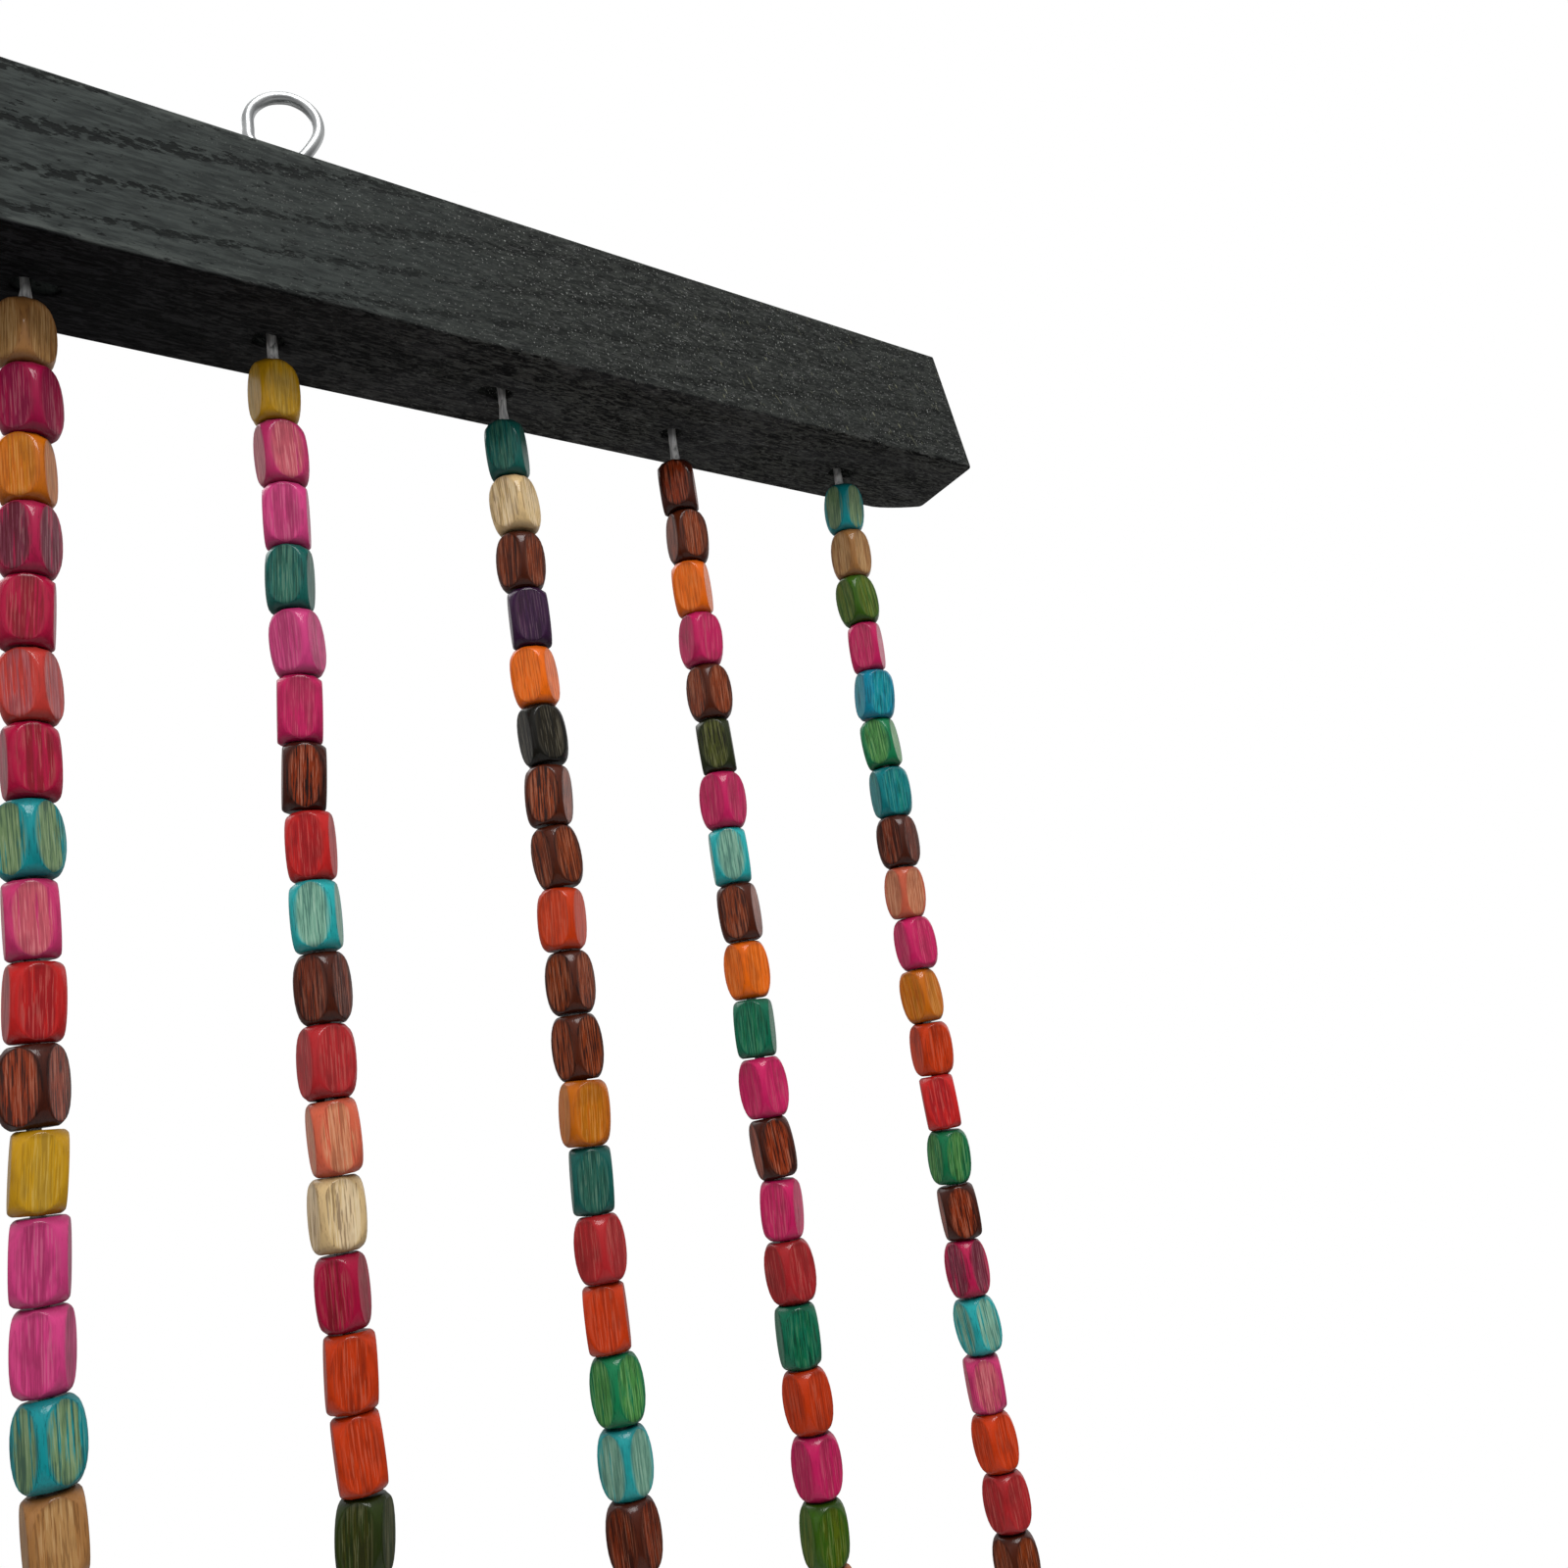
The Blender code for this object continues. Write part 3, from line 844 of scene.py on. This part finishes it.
def porePattern(tree, place):  # rows of open pores along the year rings
    parts = addNode(tree, "ShaderNodeSeparateXYZ")
    tree.links.new(place, parts.inputs[0])
    x, y, z = parts.outputs
    steepest, ringSweep = timber["steepest"], timber["ringSweep"]
    wander = noise(tree, vectorSums(tree, "MULTIPLY", place, timber["wanderScales"]), 1.0, 3.0)
    sweep = sums(tree, "MULTIPLY_ADD", x, 1 / ringSweep, -steepest / ringSweep)
    run = sums(tree, "MULTIPLY_ADD", sums(tree, "SINE", sweep), ringSweep, steepest)
    tilted = sums(tree, "MULTIPLY_ADD", y, timber["ringTilt"], z)
    leaning = sums(tree, "MULTIPLY_ADD", run, -timber["ringSlope"], tilted)
    shift = sums(tree, "MULTIPLY_ADD", wander, timber["ringWander"], timber["ringShift"])
    ring = sums(tree, "MULTIPLY_ADD", leaning, 1 / timber["ringPitch"], shift)
    band = steps(tree, sums(tree, "COSINE", sums(tree, "MULTIPLY", ring, 2 * math.pi)), 0.45, 1.0)
    dashes = noise(tree, vectorSums(tree, "MULTIPLY", place, timber["poreScales"]), 1.0, 3.0, 0.6)
    return steps(tree, sums(tree, "MULTIPLY_ADD", band, 0.19, dashes), 0.61, 0.73)


def timberTree():
    inputs = (("Pore depth", "Float"), ("Swell", "Float"), ("Stain and shade", "Material"))
    tree, sockets, inward, outward = growingTree("weatherTimber", inputs)
    place = addNode(tree, "GeometryNodeInputPosition").outputs[0]
    normal = addNode(tree, "GeometryNodeInputNormal").outputs[0]
    slow = noise(tree, vectorSums(tree, "MULTIPLY", place, timber["swellScales"]), 1.0, 2.0)
    swell = sums(tree, "MULTIPLY", sums(tree, "SUBTRACT", slow, 0.5), inward.outputs["Swell"])
    sunk = sums(tree, "MULTIPLY", porePattern(tree, place), inward.outputs["Pore depth"])
    move = sums(tree, "SUBTRACT", swell, sunk)
    move = sums(tree, "MULTIPLY", move, namedAttribute(tree, "relief", "FLOAT"))
    offset = addNode(tree, "ShaderNodeVectorMath", operation="SCALE")
    tree.links.new(normal, offset.inputs[0])
    tree.links.new(move, offset.inputs["Scale"])
    shift = addNode(tree, "GeometryNodeSetPosition")
    smooth = addNode(tree, "GeometryNodeSetShadeSmooth")
    tree.links.new(inward.outputs["Geometry"], shift.inputs["Geometry"])
    tree.links.new(offset.outputs[0], shift.inputs["Offset"])
    tree.links.new(shift.outputs[0], smooth.inputs["Geometry"])
    finishTree(tree, smooth.outputs[0], inward.outputs["Stain and shade"], outward)
    return tree, sockets


# Black stain on the bar, its underside painted much darker as shade; a pair of colours is the dark and the
# light of one finish
stain = {
    "front": (colour(49, 53, 52), colour(70, 75, 73)),
    "frontEnd": (colour(31, 32, 31), colour(57, 59, 56)),
    # the underside's colours are the front's stain painted much darker as shade; their coarse texture
    # towards the end is the wood's own
    "below": (colour(3, 3, 4), colour(26, 26, 28)),
    "shadedBelowEnd": (colour(12, 12, 12), colour(62, 63, 60)),
    "cloud": colour(66, 66, 68),
    # the paler arris line, partly rubbed stain and partly a painted highlight
    "rubbedAndLitArris": colour(104, 108, 104),
    "pore": colour(8, 9, 9),
    "paleStreak": colour(98, 99, 98),
    "speck": colour(172, 174, 170),
    "fleck": colour(146, 146, 120),
    "fleckSlant": 58,  # degrees down to the right
    "fleckSize": (2.4 * mm, 0.6 * mm, 0.4 * mm),
    "endReach": (0.3, 0.39),  # along the bar, where the wood turns coarser and dusty
    "fleckReach": (0.36, 0.39),
    "underShadeReach": (1.5 * mm, 0.8 * mm),  # above the bar's lower face, where the painted underside shade starts and is full
    "arrisReach": (2.2 * mm, 0.3 * mm),
    "specular": 0.06,
    "bump": 0.8,
    "bumpDepth": 0.16 * mm,
}


def blackStainAndShade():
    material, tree, shader = newMaterial("blackStainAndShade")
    spot = addNode(tree, "ShaderNodeTexCoord").outputs["Object"]
    parts = addNode(tree, "ShaderNodeSeparateXYZ")
    tree.links.new(spot, parts.inputs[0])
    x, y, z = parts.outputs

    def stretched(along, across, detail=3.0, twist=0.0):
        place = vectorSums(tree, "MULTIPLY", spot, (along, across, across))
        return noise(tree, place, 1.0, detail, 0.6, twist)

    def inset(part, low, high):  # depth inside the nearer of two faces
        middle = (low + high) / 2
        offMiddle = sums(tree, "ABSOLUTE", sums(tree, "SUBTRACT", part, middle))
        return sums(tree, "SUBTRACT", high - middle, offMiddle)

    def over(base, where, share, tint):
        return blendColours(tree, sums(tree, "MULTIPLY", where, share), base, tint)

    clouds = stretched(45.0, 90.0)
    fine = stretched(260.0, 1700.0, 4.0)
    rough = stretched(340.0, 1200.0, 5.0, 1.2)
    # painted shade: the underside takes far darker colours than the front
    underFrom, underFully = (barLow.z + height for height in stain["underShadeReach"])
    shadedUnderside = steps(tree, sums(tree, "MULTIPLY_ADD", clouds, 1.2 * mm, z), underFrom, underFully)
    towardsEnd = steps(tree, sums(tree, "MULTIPLY_ADD", clouds, 0.05, x), *stain["endReach"])

    front = blendColours(tree, steps(tree, fine, 0.35, 0.65), *stain["front"])
    frontEnd = blendColours(tree, steps(tree, rough, 0.4, 0.62), *stain["frontEnd"])
    front = over(front, towardsEnd, 0.85, frontEnd)
    # a paler line along the arrises: partly rubbed stain, partly a painted highlight, fainter towards the
    # end
    fromArris = sums(tree, "ADD", inset(y, barLow.y, barHigh.y), inset(z, barLow.z, barHigh.z))
    rubbedAndLitArris = steps(tree, fromArris, *stain["arrisReach"])
    rubbedAndLitArris = sums(tree, "MULTIPLY", rubbedAndLitArris, steps(tree, fine, 0.42, 0.6))
    front = over(front, rubbedAndLitArris, sums(tree, "MULTIPLY_ADD", towardsEnd, -0.35, 0.4), stain["rubbedAndLitArris"])

    # the underside colours, darkened as painted shade
    below = blendColours(tree, steps(tree, rough, 0.46, 0.6), *stain["below"])
    shadedBelowEnd = blendColours(tree, steps(tree, rough, 0.46, 0.56), *stain["shadedBelowEnd"])
    shadedBelowEnd = over(shadedBelowEnd, steps(tree, clouds, 0.42, 0.6), 0.3, stain["cloud"])
    below = over(below, towardsEnd, 0.8, shadedBelowEnd)
    base = blendColours(tree, shadedUnderside, front, below)

    pores = porePattern(tree, spot)
    base = over(base, pores, sums(tree, "MULTIPLY_ADD", towardsEnd, -0.4, 0.75), stain["pore"])
    # pale short streaks towards the end, on the front and the underside alike
    paleStreaks = steps(tree, stretched(480.0, 2100.0, 2.0, 0.7), 0.58, 0.68)
    base = over(base, sums(tree, "MULTIPLY", paleStreaks, towardsEnd), 0.4, stain["paleStreak"])

    # Pale specks and slanting flecks on the front, towards the end
    dusty = sums(tree, "MULTIPLY", towardsEnd, sums(tree, "MULTIPLY_ADD", shadedUnderside, -0.8, 1.0))
    specks = steps(tree, noise(tree, spot, 2600.0, 1.0), 0.64, 0.74)
    base = over(base, sums(tree, "MULTIPLY", specks, dusty), 0.6, stain["speck"])
    slanted = addNode(tree, "ShaderNodeMapping", vector_type="TEXTURE")
    slanted.inputs["Rotation"].default_value = (0.0, math.radians(stain["fleckSlant"]), 0.0)
    slanted.inputs["Scale"].default_value = stain["fleckSize"]
    tree.links.new(spot, slanted.inputs["Vector"])
    flecks = steps(tree, noise(tree, slanted.outputs[0], 1.0, 1.0), 0.69, 0.77)
    flecks = sums(tree, "MULTIPLY", flecks, dusty)
    flecks = sums(tree, "MULTIPLY", flecks, steps(tree, x, *stain["fleckReach"]))
    base = over(base, flecks, 0.45, stain["fleck"])

    tree.links.new(base, shader.inputs["Base Color"])
    tree.links.new(steps(tree, fine, 0.3, 0.7, 0.6, 0.8), shader.inputs["Roughness"])
    shader.inputs["Specular IOR Level"].default_value = stain["specular"]
    grit = sums(tree, "MULTIPLY", rough, sums(tree, "MAXIMUM", towardsEnd, shadedUnderside))
    relief = sums(tree, "ADD", fine, sums(tree, "MULTIPLY", pores, -0.7))
    relief = sums(tree, "ADD", relief, grit)
    tree.links.new(addBump(tree, relief, stain["bump"], stain["bumpDepth"]), shader.inputs["Normal"])
    return material


def drillHoles(bar):
    chance = random.Random(timber["seed"])
    drill = bmesh.new()
    rough = timber["roughness"]
    mostAside = timber["mouthAside"]
    along, across = timber["mouthStretch"]
    for name in strandNames:
        spot = alongLine(strandLine(name), barLow.z)
        aside = mouthShifts.get(name, chance.uniform(-mostAside, mostAside))
        bmesh.ops.create_cone(
            drill, cap_ends=True, segments=12, radius1=timber["bore"] / 2, radius2=timber["bore"] / 2,
            depth=barHigh.z - barLow.z + timber["boreOvershoot"],
            matrix=Matrix.Translation((spot.x, spot.y, (barLow.z + barHigh.z) / 2)),
        )
        middle = Vector((spot.x + aside * timber["mouthPull"], spot.y, barLow.z))
        mouth = bmesh.ops.create_cone(
            drill, cap_ends=True, segments=16, radius1=timber["mouth"] / 2, radius2=timber["mouth"] / 4,
            depth=2 * timber["mouthDepth"], matrix=Matrix.Translation(middle),
        )
        for vertex in mouth["verts"]:
            offset = vertex.co - middle
            stretch = 1 + chance.uniform(-rough, rough)
            vertex.co += Vector((offset.x * (stretch * along - 1), offset.y * (stretch * across - 1), 0))
    cutter = bpy.data.meshes.new("holes")
    drill.to_mesh(cutter)
    drill.free()
    holder = bpy.data.objects.new("holes", cutter)
    bpy.context.scene.collection.objects.link(holder)
    cut = bar.modifiers.new("drilled", "BOOLEAN")
    cut.operation = "DIFFERENCE"
    cut.object = holder
    cut.use_self = True
    bpy.context.view_layer.update()
    made = bpy.data.meshes.new_from_object(bar.evaluated_get(bpy.context.evaluated_depsgraph_get()))
    bar.modifiers.clear()
    bar.data = made
    bpy.data.objects.remove(holder)


def dressBar():
    tree, sockets = timberTree()
    values = {"Pore depth": timber["poreDepth"], "Swell": timber["swell"], "Stain and shade": blackStainAndShade()}
    bar = grow("barTimber", rawBar(), tree, sockets, values)
    drillHoles(bar)
    showInstead(bar, "header_bar")
    print("bar dressed:", len(bar.data.polygons), "faces")


# Screw eyes: wire bent by hand, so the ring has faint corners and stands a little turned
eye = {
    "wire": 1.95 * mm,
    "ring": 5.3 * mm,
    "turn": -22.0,
    "shank": 11.5 * mm,
    "sides": 16,
    "smooth": 6,
    "bend": (  # right and up from the ring's middle, in ring radii, from the shank round to the free end
        (0.0, -1.9), (0.06, -1.6), (0.34, -1.22), (0.7, -0.76), (0.95, -0.32), (1.02, 0.04),
        (0.95, 0.42), (0.7, 0.76), (0.32, 0.97), (-0.04, 1.0), (-0.44, 0.9), (-0.8, 0.62),
        (-0.98, 0.26), (-1.0, -0.16), (-0.98, -0.54), (-0.72, -0.86), (-0.3, -1.03),
    ),
}


def brightWire():
    material, tree, shader = newMaterial("brightWire")
    spot = addNode(tree, "ShaderNodeTexCoord").outputs["Object"]
    rub = noise(tree, spot, 200.0, 2.0)
    base = blendColours(tree, steps(tree, rub, 0.35, 0.65), colour(172, 174, 175), colour(196, 198, 198))
    tree.links.new(base, shader.inputs["Base Color"])
    shader.inputs["Metallic"].default_value = 1.0
    tree.links.new(steps(tree, rub, 0.3, 0.7, 0.34, 0.42), shader.inputs["Roughness"])
    return material


def dressEyes(tree, sockets):
    values = {"Width": eye["wire"], "Sides": eye["sides"], "Smooth": eye["smooth"], "Finish": brightWire()}
    turn = math.radians(eye["turn"])
    side = Vector((math.cos(turn), math.sin(turn), 0))
    for name in eyeNames:
        low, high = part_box(name)
        ringHeight = high.z - eye["wire"] / 2 - eye["ring"]
        middle = Vector(((low.x + high.x) / 2, (low.y + high.y) / 2, ringHeight))
        bend = [middle + (side * right + Vector((0, 0, up))) * eye["ring"] for right, up in eye["bend"]]
        bend.insert(0, Vector((middle.x, middle.y, barHigh.z - eye["shank"])))
        line = joinRuns(name + "_line", ((bend, False),))
        piece = grow(name.replace("screw_eye", "wire"), line, tree, sockets, values)
        showInstead(piece, name)
    print("eyes bent")


# Studio: a pale floor, white surroundings and soft lights
studio = {
    "floorGap": 0.12,
    "floorSize": 6.0,
    "floorColour": (0.86, 0.86, 0.85, 1.0),
    "floorRoughness": 0.8,
    "skyAbove": 0.6,
    "skyBelow": 0.1,
    "skyChange": (-0.5, 0.6),
    "lights": {
        "keyLight": ((0.15, -1.05, 1.3), (0.3, 0.0, -0.15), 0.8, 23.0),
        "leftLight": ((-1.7, -0.5, 0.1), (0.2, 0.0, -0.1), 1.2, 2.0),
        "rightLight": ((2.0, 0.3, 0.1), (0.3, 0.0, -0.1), 1.2, 2.5),
        "backLight": ((0.1, 1.5, 1.8), (0.0, 0.0, -0.6), 1.6, 20.0),
    },
}


def addWorld():
    world = bpy.data.worlds.new("studio")
    world.use_nodes = True
    tree = world.node_tree
    seen = addNode(tree, "ShaderNodeLightPath").outputs["Is Camera Ray"]
    direction = addNode(tree, "ShaderNodeSeparateXYZ")
    tree.links.new(addNode(tree, "ShaderNodeNewGeometry").outputs["Position"], direction.inputs[0])
    glow = steps(tree, direction.outputs[2], *studio["skyChange"], studio["skyBelow"], studio["skyAbove"])
    tree.links.new(sums(tree, "MAXIMUM", seen, glow), tree.nodes["Background"].inputs["Strength"])
    tree.nodes["Background"].inputs["Color"].default_value = (1.0, 1.0, 1.0, 1.0)
    bpy.context.scene.world = world


def addStudio():
    addWorld()
    floorHeight = cadBox[0].z - studio["floorGap"]
    bpy.ops.mesh.primitive_plane_add(size=studio["floorSize"], location=(0, 0, floorHeight))
    floor = bpy.context.active_object
    floor.name = "floor"
    material, tree, shader = newMaterial("paleFloor")
    shader.inputs["Base Color"].default_value = studio["floorColour"]
    shader.inputs["Roughness"].default_value = studio["floorRoughness"]
    floor.data.materials.append(material)
    for name, (place, aim, size, power) in studio["lights"].items():
        data = bpy.data.lights.new(name, "AREA")
        data.size = size
        data.energy = power
        holder = bpy.data.objects.new(name, data)
        holder.location = place
        holder.rotation_mode = "QUATERNION"
        holder.rotation_quaternion = (Vector(aim) - Vector(place)).to_track_quat("-Z", "Y")
        bpy.context.scene.collection.objects.link(holder)
    bpy.context.scene.view_settings.view_transform = "Standard"
    print("studio set")


addCamera()
scatter, scatterSockets = scatterTree()
wire, wireSockets = wireTree()
threadBeads(scatter, scatterSockets)
layCords(wire, wireSockets)
dressBar()
dressEyes(wire, wireSockets)
addStudio()
